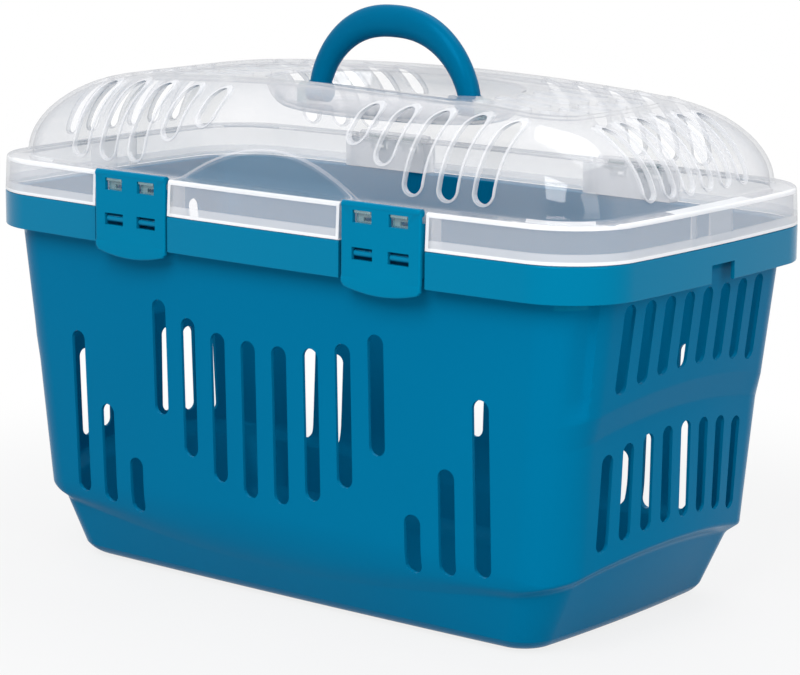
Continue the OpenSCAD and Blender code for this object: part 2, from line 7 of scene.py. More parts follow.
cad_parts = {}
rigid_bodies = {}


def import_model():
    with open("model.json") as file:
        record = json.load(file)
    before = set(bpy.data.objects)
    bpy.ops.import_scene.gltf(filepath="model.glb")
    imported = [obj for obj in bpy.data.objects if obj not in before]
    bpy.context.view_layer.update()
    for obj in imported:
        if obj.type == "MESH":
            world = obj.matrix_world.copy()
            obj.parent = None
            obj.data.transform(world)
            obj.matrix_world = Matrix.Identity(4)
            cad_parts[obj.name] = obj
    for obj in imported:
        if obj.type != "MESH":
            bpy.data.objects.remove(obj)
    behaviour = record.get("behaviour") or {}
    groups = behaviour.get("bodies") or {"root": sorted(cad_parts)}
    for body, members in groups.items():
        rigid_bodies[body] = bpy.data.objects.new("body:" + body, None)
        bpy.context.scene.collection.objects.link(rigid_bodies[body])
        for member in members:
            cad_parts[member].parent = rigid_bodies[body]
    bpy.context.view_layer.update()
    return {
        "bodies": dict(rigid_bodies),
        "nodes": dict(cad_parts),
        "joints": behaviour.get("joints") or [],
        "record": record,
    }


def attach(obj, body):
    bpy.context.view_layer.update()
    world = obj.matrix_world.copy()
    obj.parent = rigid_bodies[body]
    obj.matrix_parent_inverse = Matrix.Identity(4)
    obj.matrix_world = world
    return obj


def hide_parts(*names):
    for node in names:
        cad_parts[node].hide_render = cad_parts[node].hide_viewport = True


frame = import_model()
nodes = frame["nodes"]
bpy.ops.object.select_all(action="DESELECT")
print("frame loaded:", ", ".join(sorted(nodes)))

# camera, set from the picture's own edges
camera = {
    "azimuth": 38.564,     # degrees round from the front
    "elevation": 11.148,   # degrees above level
    "roll": 0.424,
    "place": (0.95722, -1.19093, 0.42607),
    "lens": 135.23,
}


def addCamera():
    az, el, roll = (math.radians(camera[k]) for k in ("azimuth", "elevation", "roll"))
    look = Vector((-math.sin(az) * math.cos(el), math.cos(az) * math.cos(el), -math.sin(el)))
    right = Vector((math.cos(az), math.sin(az), 0))
    up = right.cross(look)
    side = math.cos(roll) * right + math.sin(roll) * up
    top = -math.sin(roll) * right + math.cos(roll) * up
    bpy.ops.object.camera_add(location=camera["place"])
    cam = bpy.context.object
    cam.rotation_euler = Matrix((side, top, -look)).transposed().to_euler()
    cam.data.lens = camera["lens"]
    cam.data.sensor_width = 36
    cam.data.clip_end = 20
    bpy.context.scene.camera = cam


addCamera()
print("camera placed")


# materials
def newMaterial(name):
    mat = bpy.data.materials.new(name)
    mat.use_nodes = True
    tree = mat.node_tree
    return mat, tree, tree.nodes["Principled BSDF"]


def addNode(tree, kind, **values):
    node = tree.nodes.new(kind)
    for key, value in values.items():
        if key in node.inputs:
            node.inputs[key].default_value = value
        else:
            setattr(node, key, value)
    return node


tubPlastic = {"colour": (0.0, 0.165, 0.325, 1), "deep": (0.0, 0.14, 0.285, 1), "rough": 0.22,
              "shine": 0.03, "grain": 900}
# the rim band: the tub's colour painted lighter, as if lit from inside
rimBandLit = {"colour": (0.0, 0.185, 0.34, 1), "deep": (0.0, 0.168, 0.31, 1), "rough": 0.2,
           "shine": 0.2, "grain": 900}
clipPlastic = {"colour": (0.0, 0.195, 0.355, 1), "deep": (0.0, 0.172, 0.32, 1), "rough": 0.22,
               "shine": 0.06, "grain": 900}
handlePlastic = {"colour": (0.0, 0.134, 0.27, 1), "deep": (0.0, 0.115, 0.24, 1), "rough": 0.24,
                 "shine": 0.05, "grain": 900}
paintedEdgeHighlight = {"colour": (0.05, 0.26, 0.42, 1), "deep": (0.03, 0.23, 0.39, 1), "rough": 0.2,
            "shine": 0.25, "grain": 900}       # the rounded edges, painted paler as a highlight where they catch the light


def mouldedPlastic(name, look):
    mat, tree, shader = newMaterial(name)
    coords = addNode(tree, "ShaderNodeTexCoord")
    broad = addNode(tree, "ShaderNodeTexNoise", Scale=6, Detail=2)
    fine = addNode(tree, "ShaderNodeTexNoise", Scale=look["grain"], Detail=3)
    tone = addNode(tree, "ShaderNodeMix", data_type="RGBA")
    tone.inputs["A"].default_value = look["deep"]
    tone.inputs["B"].default_value = look["colour"]
    rough = addNode(tree, "ShaderNodeMapRange")
    rough.inputs["To Min"].default_value = look["rough"] - 0.04
    rough.inputs["To Max"].default_value = look["rough"] + 0.06
    bump = addNode(tree, "ShaderNodeBump", Strength=0.05, Distance=0.0002)
    link = tree.links.new
    link(coords.outputs["Object"], broad.inputs["Vector"])
    link(coords.outputs["Object"], fine.inputs["Vector"])
    link(broad.outputs["Fac"], tone.inputs["Factor"])
    link(tone.outputs["Result"], shader.inputs["Base Color"])
    link(broad.outputs["Fac"], rough.inputs["Value"])
    link(rough.outputs["Result"], shader.inputs["Roughness"])
    link(fine.outputs["Fac"], bump.inputs["Height"])
    link(bump.outputs["Normal"], shader.inputs["Normal"])
    shader.inputs["IOR"].default_value = 1.49
    shader.inputs["Specular IOR Level"].default_value = look["shine"]
    shader.inputs["Metallic"].default_value = 0.04
    shader.inputs["Specular Tint"].default_value = (0.05, 0.55, 0.95, 1)
    return mat


# rough is for the milky veil, polish for the gloss over it
clearPlastic = {"colour": (0.9, 0.905, 0.94, 1), "edgeColour": (0.5, 0.51, 0.57, 1), "rough": 0.35,
                "polish": 0.07, "glint": 0.03, "thin": 0.05, "edge": 0.5}
# slot rims, cut walls, pockets and the band under the skirt's step: whiter and more opaque than the lid, a
# painted highlight
slotRimHighlight = {"colour": (0.94, 0.945, 0.97, 1), "edgeColour": (0.62, 0.63, 0.68, 1), "rough": 0.35,
              "polish": 0.1, "glint": 0.05, "thin": 0.36, "edge": 0.75}
# the skirt: a denser milky veil, a painted reflection of the white round it
skirtReflection = {"colour": (0.9, 0.91, 0.95, 1), "edgeColour": (0.7, 0.71, 0.77, 1), "rough": 0.35,
                "polish": 0.09, "glint": 0.04, "thin": 0.17, "edge": 0.5}
# the skirt's lip, top edge and the clips' frames: near opaque white, a painted highlight
skirtEdgeHighlight = {"colour": (0.95, 0.955, 0.97, 1), "edgeColour": (0.86, 0.87, 0.9, 1), "rough": 0.3,
               "polish": 0.1, "glint": 0.06, "thin": 0.72, "edge": 0.85}
# the hooks in the clips' windows and the handle's lugs: dark green-grey, painted shade
hookShade = {"colour": (0.22, 0.4, 0.43, 1), "edgeColour": (0.08, 0.2, 0.24, 1), "rough": 0.3,
               "polish": 0.08, "glint": 0.08, "thin": 0.5, "edge": 0.8}
# the arch pressed into the lid's front, in metres; inside it a painted shade greys what shows through it, as
# a grey-blue colour and a denser veil, and a painted highlight runs along its edge
lidArch = {"high": 0.017, "half": 0.054, "base": 0.2146, "archShade": (0.2, 0.3, 0.4, 1),
           "veil": 0.3, "line": 0.22}


def archField(tree, coords):
    # how far inside the arch a point of the lid's front lies, in metres, turned into masks for the painted
    # shade inside the arch and the painted highlight along its edge
    split = addNode(tree, "ShaderNodeSeparateXYZ")
    tree.links.new(coords.outputs["Object"], split.inputs["Vector"])

    def maths(operation, a, b):
        node = addNode(tree, "ShaderNodeMath", operation=operation)
        for socket, value in zip(node.inputs, (a, b)):
            if isinstance(value, (int, float)):
                socket.default_value = value
            else:
                tree.links.new(value, socket)
        return node.outputs["Value"]

    across = maths("MULTIPLY", split.outputs["X"], 1 / lidArch["half"])
    bend = maths("MULTIPLY", maths("MULTIPLY", across, across), -lidArch["high"])
    top = maths("ADD", bend, lidArch["high"] + lidArch["base"])
    inside = maths("SUBTRACT", top, split.outputs["Z"])
    front = maths("LESS_THAN", split.outputs["Y"], 0)
    deep = addNode(tree, "ShaderNodeMapRange", interpolation_type="SMOOTHSTEP")
    deep.inputs["From Min"].default_value = 0.0008
    deep.inputs["From Max"].default_value = 0.0026
    tree.links.new(inside, deep.inputs["Value"])
    off = maths("ABSOLUTE", inside, 0)
    line = addNode(tree, "ShaderNodeMapRange", interpolation_type="SMOOTHSTEP")
    line.inputs["From Min"].default_value = 0.001
    line.inputs["From Max"].default_value = 0.0002
    tree.links.new(off, line.inputs["Value"])
    return (maths("MULTIPLY", deep.outputs["Result"], front),
            maths("MULTIPLY", line.outputs["Result"], front))


def clearMoulding(name, look, arched=False):
    # see-through wall: a thin milky veil, greyer where it turns away, under a gloss
    mat, tree, shader = newMaterial(name)
    coords = addNode(tree, "ShaderNodeTexCoord")
    haze = addNode(tree, "ShaderNodeTexNoise", Scale=9, Detail=2)
    facing = addNode(tree, "ShaderNodeLayerWeight", Blend=0.2)
    tone = addNode(tree, "ShaderNodeMix", data_type="RGBA")
    tone.inputs["A"].default_value = look["colour"]
    tone.inputs["B"].default_value = look["edgeColour"]
    veil = addNode(tree, "ShaderNodeMapRange")
    veil.inputs["To Min"].default_value = look["thin"]
    veil.inputs["To Max"].default_value = look["edge"]
    vary = addNode(tree, "ShaderNodeMapRange")
    vary.inputs["To Min"].default_value = 0.88
    vary.inputs["To Max"].default_value = 1.12
    alpha = addNode(tree, "ShaderNodeMath", operation="MULTIPLY")
    gloss = addNode(tree, "ShaderNodeBsdfGlossy")
    gloss.inputs["Roughness"].default_value = look["polish"]
    turned = addNode(tree, "ShaderNodeLayerWeight", Blend=0.5)
    steep = addNode(tree, "ShaderNodeMath", operation="POWER")
    steep.inputs[1].default_value = 4
    mirror = addNode(tree, "ShaderNodeMapRange")
    mirror.inputs["To Min"].default_value = look["glint"]
    mirror.inputs["To Max"].default_value = 0.7
    blend = addNode(tree, "ShaderNodeMixShader")
    shader.inputs["Roughness"].default_value = look["rough"]
    shader.inputs["Specular IOR Level"].default_value = 0
    link = tree.links.new
    link(coords.outputs["Object"], haze.inputs["Vector"])
    link(haze.outputs["Fac"], vary.inputs["Value"])
    link(facing.outputs["Facing"], tone.inputs["Factor"])
    link(facing.outputs["Facing"], veil.inputs["Value"])
    link(veil.outputs["Result"], alpha.inputs[0])
    link(vary.outputs["Result"], alpha.inputs[1])
    # inside the arch: painted shade, a grey-blue colour and a denser veil; along its edge: a painted
    # highlight, a more opaque line
    if arched:
        deep, line = archField(tree, coords)
        archShade = addNode(tree, "ShaderNodeMix", data_type="RGBA")
        archShade.inputs["B"].default_value = lidArch["archShade"]
        more = addNode(tree, "ShaderNodeMath", operation="MULTIPLY_ADD")
        more.inputs[1].default_value = lidArch["veil"]
        most = addNode(tree, "ShaderNodeMath", operation="MULTIPLY_ADD", use_clamp=True)
        most.inputs[1].default_value = lidArch["line"]
        link(tone.outputs["Result"], archShade.inputs["A"])
        link(deep, archShade.inputs["Factor"])
        link(archShade.outputs["Result"], shader.inputs["Base Color"])
        link(deep, more.inputs[0])
        link(alpha.outputs["Value"], more.inputs[2])
        link(line, most.inputs[0])
        link(more.outputs["Value"], most.inputs[2])
        link(most.outputs["Value"], shader.inputs["Alpha"])
    else:
        link(tone.outputs["Result"], shader.inputs["Base Color"])
        link(alpha.outputs["Value"], shader.inputs["Alpha"])
    link(turned.outputs["Facing"], steep.inputs[0])
    link(steep.outputs["Value"], mirror.inputs["Value"])
    link(mirror.outputs["Result"], blend.inputs["Fac"])
    link(shader.outputs["BSDF"], blend.inputs[1])
    link(gloss.outputs["BSDF"], blend.inputs[2])
    link(blend.outputs["Shader"], tree.nodes["Material Output"].inputs["Surface"])
    return mat


turquoise = mouldedPlastic("turquoiseTub", tubPlastic)
turquoiseRimLit = mouldedPlastic("turquoiseRimLit", rimBandLit)
turquoiseClip = mouldedPlastic("turquoiseClip", clipPlastic)
turquoiseHandle = mouldedPlastic("turquoiseHandle", handlePlastic)
turquoiseEdgeHighlight = mouldedPlastic("turquoiseEdgeHighlight", paintedEdgeHighlight)
clear = clearMoulding("clearLid", clearPlastic, True)
clearRimHighlight = clearMoulding("clearSlotRimHighlight", slotRimHighlight)
clearSkirtReflection = clearMoulding("clearSkirtReflection", skirtReflection)
clearEdgeHighlight = clearMoulding("clearEdgeHighlight", skirtEdgeHighlight)
clearHookShade = clearMoulding("clearHookShade", hookShade)
lidClearAndPaintedLight = (clear, clearRimHighlight, clearSkirtReflection, clearEdgeHighlight, clearHookShade)
print("materials made")


def paint(piece, *mats):
    piece.data.materials.clear()
    for mat in mats:
        piece.data.materials.append(mat)


# modelling by ring, as with a circle extruded by hand; lengths are in millimetres until they reach a mesh
mm = 0.001


def smoothStep(t):
    c = min(1, max(0, t))
    return c * c * (3 - 2 * c)


ringPoints = {"end": 10, "corner": 30, "side": 24}   # points of a quarter outline
circlePull = 0.5523      # how far a curve's handles reach, of the radius, for a round corner


def quarterOutline(halfLong, halfWide, bowSide, bowEnd, radius):
    y0 = halfWide - bowSide - radius
    x1 = halfLong - bowEnd - radius
    a = Vector((halfLong - bowEnd * (y0 / halfWide) ** 2, y0))
    d = Vector((x1, halfWide - bowSide * (x1 / halfLong) ** 2))
    b = a + Vector((-2 * bowEnd * y0 / halfWide ** 2, 1)).normalized() * circlePull * radius
    c = d - Vector((-1, 2 * bowSide * x1 / halfLong ** 2)).normalized() * circlePull * radius
    points = []
    for i in range(ringPoints["end"]):
        y = y0 * i / ringPoints["end"]
        points.append((halfLong - bowEnd * (y / halfWide) ** 2, y))
    for i in range(ringPoints["corner"] + 1):
        t = i / ringPoints["corner"]
        p = a * (1 - t) ** 3 + b * 3 * t * (1 - t) ** 2 + c * 3 * t * t * (1 - t) + d * t ** 3
        points.append((p.x, p.y))
    for i in range(1, ringPoints["side"] + 1):
        x = x1 * (1 - i / ringPoints["side"])
        points.append((x, halfWide - bowSide * (x / halfLong) ** 2))
    return points


def outline(*sizes):
    q = quarterOutline(*sizes)
    back = q[:0:-1]
    return (q[:-1] + [(-x, y) for x, y in back] + [(-x, -y) for x, y in q[:-1]]
            + [(x, -y) for x, y in back])


def level(points, z):
    return [(x, y, z) for x, y in points]


def folded(ring):
    # the ring pressed together onto its long axis, which closes an end
    return [(x, 0, z) for x, y, z in ring]


def softened(profile):
    # rounds each ring that has a radius off between its neighbours
    rings = []
    for i, (ring, radius) in enumerate(profile):
        if not radius or i in (0, len(profile) - 1):
            rings.append(ring)
            continue
        before, after = profile[i - 1][0], profile[i + 1][0]
        steps = 3 if radius < 0.7 else 5
        for k in range(steps):
            t = k / (steps - 1)
            points = []
            for a, b, c in zip(before, ring, after):
                a, b, c = Vector(a), Vector(b), Vector(c)
                p = b + (a - b) * min(0.48, radius / max((a - b).length, 1e-6))
                q = b + (c - b) * min(0.48, radius / max((c - b).length, 1e-6))
                points.append(tuple(p * (1 - t) ** 2 + b * 2 * t * (1 - t) + q * t * t))
            rings.append(points)
    return rings


def loft(name, rings):
    # a circle extruded from ring to ring, each new ring set point by point
    bpy.ops.object.select_all(action="DESELECT")
    bpy.ops.mesh.primitive_circle_add(vertices=len(rings[0]), radius=0.1)
    piece = bpy.context.object
    piece.name = name
    bpy.ops.object.mode_set(mode="EDIT")
    bm = bmesh.from_edit_mesh(piece.data)
    around = bm.verts.layers.int.new("around")
    for v in bm.verts:
        v[around] = v.index
        v.co = Vector(rings[0][v.index]) * mm
    for ring in rings[1:]:
        bmesh.update_edit_mesh(piece.data)
        bpy.ops.mesh.extrude_region_move()
        bm = bmesh.from_edit_mesh(piece.data)
        around = bm.verts.layers.int["around"]
        for v in bm.verts:
            if v.select:
                v.co = Vector(ring[v[around]]) * mm
    bmesh.update_edit_mesh(piece.data)
    bpy.ops.mesh.select_all(action="SELECT")
    bpy.ops.mesh.remove_doubles(threshold=1e-6)
    bpy.ops.mesh.normals_make_consistent(inside=False)
    bpy.ops.object.mode_set(mode="OBJECT")
    piece.data.attributes.remove(piece.data.attributes["around"])
    return piece


def setPlace(piece):
    # puts the object's place into its mesh
    bpy.ops.object.select_all(action="DESELECT")
    piece.select_set(True)
    bpy.context.view_layer.objects.active = piece
    bpy.ops.object.transform_apply(location=True, rotation=True, scale=True)
    return piece


def addBlock(low, high, name="block"):
    size = [h - l for l, h in zip(low, high)]
    middle = [(l + h) / 2000 for l, h in zip(low, high)]     # half way, in metres
    bpy.ops.mesh.primitive_cube_add(size=0.001, location=middle, scale=size)
    piece = bpy.context.object
    piece.name = name
    return setPlace(piece)


def addRod(middle, radius, length, along="X", sides=48, name="rod"):
    turn = {"X": (math.pi / 2, 0, math.pi / 2), "Y": (math.pi / 2, 0, 0), "Z": (0, 0, 0)}[along]
    bpy.ops.mesh.primitive_cylinder_add(vertices=sides, radius=radius * mm, depth=length * mm,
                                        location=[m * mm for m in middle], rotation=turn)
    piece = bpy.context.object
    piece.name = name
    return setPlace(piece)


def addSlot(across, low, high, width, start, end, along="Y"):
    # a slot's cutter: a rod with one half of it pulled away, up for X and Y, to +X for Z
    sides = 24
    half = width / 2 / math.cos(math.pi / sides)
    near, mid = low + width / 2, (start + end) / 2
    middle = {"X": (mid, across, near), "Y": (across, mid, near), "Z": (near, across, mid)}[along]
    turn = {"X": (math.pi / 2, math.pi / sides, math.pi / 2), "Y": (math.pi / 2, math.pi / sides, 0),
            "Z": (0, 0, math.pi / sides)}[along]
    bpy.ops.mesh.primitive_cylinder_add(vertices=sides, radius=half * mm, depth=abs(end - start) * mm,
                                        location=[m * mm for m in middle], rotation=turn)
    piece = setPlace(bpy.context.object)
    axis = 0 if along == "Z" else 2
    pull = [0, 0, 0]
    pull[axis] = (high - low - width) * mm
    bpy.ops.object.mode_set(mode="EDIT")
    bm = bmesh.from_edit_mesh(piece.data)
    for v in bm.verts:
        v.select = v.co[axis] > middle[axis] * mm
    bm.select_flush_mode()
    bmesh.update_edit_mesh(piece.data)
    bpy.ops.transform.translate(value=pull)
    bpy.ops.object.mode_set(mode="OBJECT")
    return piece


def joined(pieces, name):
    bpy.ops.object.select_all(action="DESELECT")
    for piece in pieces:
        piece.select_set(True)
    bpy.context.view_layer.objects.active = pieces[0]
    bpy.ops.object.join()
    pieces[0].name = name
    return pieces[0]


def shaped(piece, tool, way):
    # one boolean, applied, and its tool thrown away
    bpy.ops.object.select_all(action="DESELECT")
    piece.select_set(True)
    bpy.context.view_layer.objects.active = piece
    step = piece.modifiers.new(way.lower(), "BOOLEAN")
    step.operation = way
    step.solver = "MANIFOLD"
    step.object = tool
    bpy.ops.object.modifier_apply(modifier=step.name)
    bpy.data.objects.remove(tool, do_unlink=True)
    return piece


def copied(piece, name):
    twin = piece.copy()
    twin.data = piece.data.copy()
    twin.name = name
    bpy.context.collection.objects.link(twin)
    return twin


def finished(piece, body, node, edge=0, edgeHighlightIndex=-1):
    # rounds the edges, shades the piece and puts it in its CAD node's place
    bpy.ops.object.select_all(action="DESELECT")
    piece.select_set(True)
    bpy.context.view_layer.objects.active = piece
    if edge:
        bevel = piece.modifiers.new("edges", "BEVEL")
        bevel.width = edge * mm
        bevel.segments = 2
        bevel.limit_method = "ANGLE"
        bevel.angle_limit = math.radians(50)
        bevel.use_clamp_overlap = True
        # the bevel's faces take the painted edge highlight
        bevel.material = edgeHighlightIndex
        bpy.ops.object.modifier_apply(modifier=bevel.name)
    bpy.ops.object.shade_smooth_by_angle(angle=math.radians(35))
    even = piece.modifiers.new("evenNormals", "WEIGHTED_NORMAL")
    even.keep_sharp = True
    even.weight = 90
    bpy.ops.object.modifier_apply(modifier=even.name)
    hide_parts(node)
    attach(piece, body)
    print(piece.name, "made,", len(piece.data.polygons), "faces")


# where the clips sit along the rim, their hooks and catches, and half the width of a clip's bay
clipPlaces = (-81, 81)
hookPlaces = (-92, -70, 70, 92)
bayHalf = 25.6

# tub
tub = {
    "rimZ": 177, "top": 195, "wallLong": 191, "wallWide": 100, "wall": 1.8, "floor": 2.6,
    "leanEnd": 0.124, "leanSide": 0.032, "bowSide": 7, "bowEnd": 5, "corner": 26,
    "bowMore": 1.5, "cornerLess": 5,                     # by how much both change from the rim to the ledge
    "rimLong": 200, "rimWide": 108, "rimCorner": 34, "rimThick": 2,
    "ledgeZ": 34, "ledgeRise": 14, "ledgeWide": 7, "ledgeSide": 4.2, "ledgeSlope": 5.5,
    "footLong": 142.5, "footWide": 68.5, "footEdge": 14, "footCorner": 10, "footTurn": 58,
    "archZ": 114, "archRise": 13.5, "archBand": 13, "archIn": 2.2, "cornerRecess": 0.1,
    "bellyLow": 4, "bellyHigh": 1.5,
    "archDrop": 12,
    "groove": 2.2, "grooveAt": 0.24, "grooveSharp": 0.035, "grooveSoft": 0.32,     # crease down each corner
    "slot": 9.6, "pitch": 20.2, "rearPitch": 19.6, "rearOff": -4, "rearDrop": 2.5,
    "slots": [(56, 136.5), (61, 138), (71, 143), (90, 150), (34.5, 64), (36.5, 89.5), (39, 126)],
    "endSlot": 8.4, "endPitch": 15.9, "leftPitch": 16.6, "leftOff": -2.5,
    "endTop": 173, "endBottom": 135, "lowTop": 106, "lowLength": 48,
    "notch": 20, "notchHigh": 9, "notchOff": 5,
    "catchOut": 105.25, "catchZ": 190,
}


def cornerGroove(x, y, halfLong, halfWide):
    # 0 to 1 by the angle round a corner: it sets in sharply and fades out softly
    radius = tub["corner"]
    a = abs(y) - (halfWide - tub["bowSide"] - radius)
    b = abs(x) - (halfLong - tub["bowEnd"] - radius)
    if a <= 0 or b <= 0:
        return 0
    t = math.atan2(a, b) / (math.pi / 2) - tub["grooveAt"]
    sharp = tub["grooveSharp"]
    return smoothStep(t / sharp) * (1 - smoothStep((t - sharp) / tub["grooveSoft"]))


def wallRing(z, rise=0, inset=0, recess=0, belly=0, drop=0, groove=0):
    # a ring of the wall, raised in the middle of each end by rise and lowered at the corners by drop
    down = tub["rimZ"] - z
    span = tub["rimZ"] - tub["ledgeZ"]
    halfLong = tub["wallLong"] - tub["leanEnd"] * down
    halfWide = tub["wallWide"] - tub["leanSide"] * down
    flat = outline(halfLong - inset, halfWide - inset, tub["bowSide"] + tub["bowMore"] * down / span,
                   tub["bowEnd"], tub["corner"] - tub["cornerLess"] * down / span - inset)
    ring = []
    for x, y in flat:
        share = max(0, 1 - (y / halfWide) ** 2)
        up = rise * share - drop * (1 - smoothStep(share / 0.2))
        fade = smoothStep((abs(x) - (tub["wallLong"] - 2.2 * tub["corner"])) / (1.5 * tub["corner"]))
        fade *= tub["cornerRecess"] + (1 - tub["cornerRecess"]) * smoothStep(2 * share - 0.3)
        k = recess * fade - belly * share ** 2 + groove * cornerGroove(x, y, halfLong, halfWide)
        sx = (halfLong + tub["leanEnd"] * up - inset - k) / (halfLong - inset)
        sy = (halfWide + tub["leanSide"] * up - inset - 0.35 * max(0, k)) / (halfWide - inset)
        ring.append((x * sx, y * sy, z + up))
    return ring


def footRing(turn, inset=0, base=0):
    out = tub["footEdge"] * math.sin(math.radians(turn)) - inset
    z = base + tub["footEdge"] * (1 - math.cos(math.radians(turn)))
    return level(outline(tub["footLong"] + out, tub["footWide"] + out, 2, 3, tub["footCorner"] + out / 2), z)


def ledgeRing(inset=0, base=0):
    z = tub["ledgeZ"] - tub["ledgeSlope"]
    down = tub["rimZ"] - z
    span = tub["rimZ"] - tub["ledgeZ"]
    side = tub["ledgeSide"]
    halfLong = tub["wallLong"] - tub["leanEnd"] * down
    halfWide = tub["wallWide"] - tub["leanSide"] * down
    flat = outline(halfLong - side - inset, halfWide - side - inset,
                   tub["bowSide"] + tub["bowMore"] * down / span, tub["bowEnd"],
                   tub["corner"] - tub["cornerLess"] * down / span - side / 2 - inset)
    ring = []
    for x, y in flat:
        share = max(0, 1 - (y / halfWide) ** 2)
        up = tub["ledgeRise"] * share
        less = side + (tub["ledgeWide"] - side) * min(1, 1.4 * share) + inset
        out = halfLong + tub["leanEnd"] * up - less + tub["bellyLow"] * share ** 2
        sx = out / (halfLong - side - inset)
        ring.append((x * sx, y, z + up + base))
    return ring


def between(low, high, t):
    return [tuple(a + (b - a) * t for a, b in zip(p, q)) for p, q in zip(low, high)]


def footToWall(inset, base):
    # at the ends the wall steps in over a ledge, along the sides it bends in softly
    foot, ledge = footRing(tub["footTurn"], inset, base), ledgeRing(inset, base)
    low = wallRing(tub["ledgeZ"] + base, tub["ledgeRise"], inset, 0, tub["bellyLow"])
    bend = wallRing(tub["ledgeZ"] - 3 + base, tub["ledgeRise"], inset)
    high = between(low, midRing(inset, base), 0.48)
    ends = softened([[foot, 0], [ledge, 2], [low, 1.5], [high, 0]])
    rings = []
    for k, ring in enumerate(ends):
        t = k / (len(ends) - 1)
        mixed = []
        for a, b, c, p in zip(foot, bend, high, ring):
            side = Vector(a) * (1 - t) ** 2 + Vector(b) * 2 * t * (1 - t) + Vector(c) * t * t
            share = max(0, 1 - (p[1] / 96) ** 2)
            mixed.append(tuple(side + (Vector(p) - side) * smoothStep(4 * share)))
        rings.append(mixed)
    return rings


def midRing(inset, base):
    z = 0.5 * (tub["ledgeZ"] + tub["archZ"] - tub["archBand"]) + base / 2
    return wallRing(z, 0.5 * (tub["ledgeRise"] + tub["archRise"]), inset, tub["archIn"] / 2, 1.25)


def tubWalls(inset=0, base=0):
    archZ, rise, drop = tub["archZ"], tub["archRise"], tub["archDrop"]
    profile = [[footRing(a, inset, base), 0] for a in range(0, tub["footTurn"], 7)]
    profile += [[ring, 0] for ring in footToWall(inset, base)]
    profile += [
        [midRing(inset, base), 20],
        [wallRing(archZ - tub["archBand"], rise, inset, tub["archIn"], -tub["bellyHigh"], drop), 1],
        [wallRing(archZ, rise, inset, drop=drop), 1],
    ]
    steps = 3 if inset else 15
    for i in range(1, steps):
        u = i / steps
        z = archZ + (tub["rimZ"] - archZ) * u
        deep = tub["groove"] * smoothStep(u * 6)
        profile.append([wallRing(z, rise * (1 - u), inset, drop=drop * (1 - u), groove=deep), 0])
    return profile


def rimRing(z, inset):
    return level(outline(tub["rimLong"] - inset, tub["rimWide"] - inset, tub["bowSide"], tub["bowEnd"],
                         tub["rimCorner"] - inset), z)


def tubSlots():
    cutters = []
    for i, (low, high) in enumerate(tub["slots"]):
        for s in (-1, 1):
            cutters.append(addSlot(s * tub["pitch"] * (i + 0.5), low, high, tub["slot"], -104, -70))
            cutters.append(addSlot(s * tub["rearPitch"] * (i + 0.5) + tub["rearOff"], low - tub["rearDrop"],
                                   high - tub["rearDrop"], tub["slot"], 70, 104))
    for j in range(4):
        drop = (j + 0.5) ** 2
        lowTop = tub["lowTop"] - 0.5 * drop
        for s in (-1, 1):
            for y, a, b in ((s * tub["endPitch"] * (j + 0.5), 150, 195),
                            (s * tub["leftPitch"] * (j + 0.5) + tub["leftOff"], -195, -150)):
                low = tub["endBottom"] - 0.45 * drop
                cutters.append(addSlot(y, low, tub["endTop"], tub["endSlot"], a, b, "X"))
                cutters.append(addSlot(y, lowTop - tub["lowLength"], lowTop, tub["endSlot"], a, b, "X"))
    return joined(cutters, "tubCutters")


def makeTub():
    outer, inner = tubWalls(), tubWalls(tub["wall"], tub["floor"])
    top, thick = tub["top"], tub["rimThick"]
    profile = outer + [
        [wallRing(tub["rimZ"] + 4, groove=tub["groove"]), 0],
        [wallRing(top - thick, groove=tub["groove"]), 1],
        [rimRing(top - thick, thick), 1],
        [rimRing(tub["rimZ"], thick), 0.5],
        [rimRing(tub["rimZ"], 0), 0.6],
        [rimRing(top, 0), 1],
        [wallRing(top, 0, tub["wall"]), 0.8],
    ] + inner[::-1]
    rings = softened(profile)
    rings = [folded(rings[0])] + rings + [folded(rings[-1])]
    piece = loft("tubShell", rings)
    shaped(piece, joined([addBlock((x - bayHalf, y - 4.8, 176), (x + bayHalf, y + 4.8, 197))
                          for x in clipPlaces for y in (-104.2, 104.2)], "clipBays"), "DIFFERENCE")
    catches = []
    for s in (-1, 1):
        for x in hookPlaces:
            y, z = s * tub["catchOut"], tub["catchZ"]
            low, high = sorted((s * 98.6, y))
            catches.append(addBlock((x - 5.8, low, z - 1.5), (x + 5.8, high, z + 1.5)))
            catches.append(addRod((x, y, z), 1.5, 11.6, "X", 24))
    for catch in catches:
        shaped(piece, catch, "UNION")
    shaped(piece, tubSlots(), "DIFFERENCE")
    notches = [addBlock((s * 200 - 6, s * tub["notchOff"] - tub["notch"] / 2, tub["rimZ"] - 1),
                        (s * 200 + 6, s * tub["notchOff"] + tub["notch"] / 2, tub["rimZ"] + tub["notchHigh"]))
               for s in (-1, 1)]
    shaped(piece, joined(notches, "endNotches"), "DIFFERENCE")
    # the rim band's outer faces take the rim colour, painted lighter as if lit from inside; the bevels take
    # the painted edge highlight
    paint(piece, turquoise, turquoiseRimLit, turquoiseEdgeHighlight)
    for face in piece.data.polygons:
        x, y, z = (c * 1000 for c in face.center)
        out = abs(x) > 193 or abs(y) > tub["rimWide"] - tub["bowSide"] * (x / tub["rimLong"]) ** 2 - 3.5
        out = out or (abs(x) > 168 and abs(y) > 80)
        face.material_index = int(z > tub["rimZ"] - 0.1 and out)
    finished(piece, "base_tub", "base_tub", 0.4, edgeHighlightIndex=2)
    return piece


makeTub()


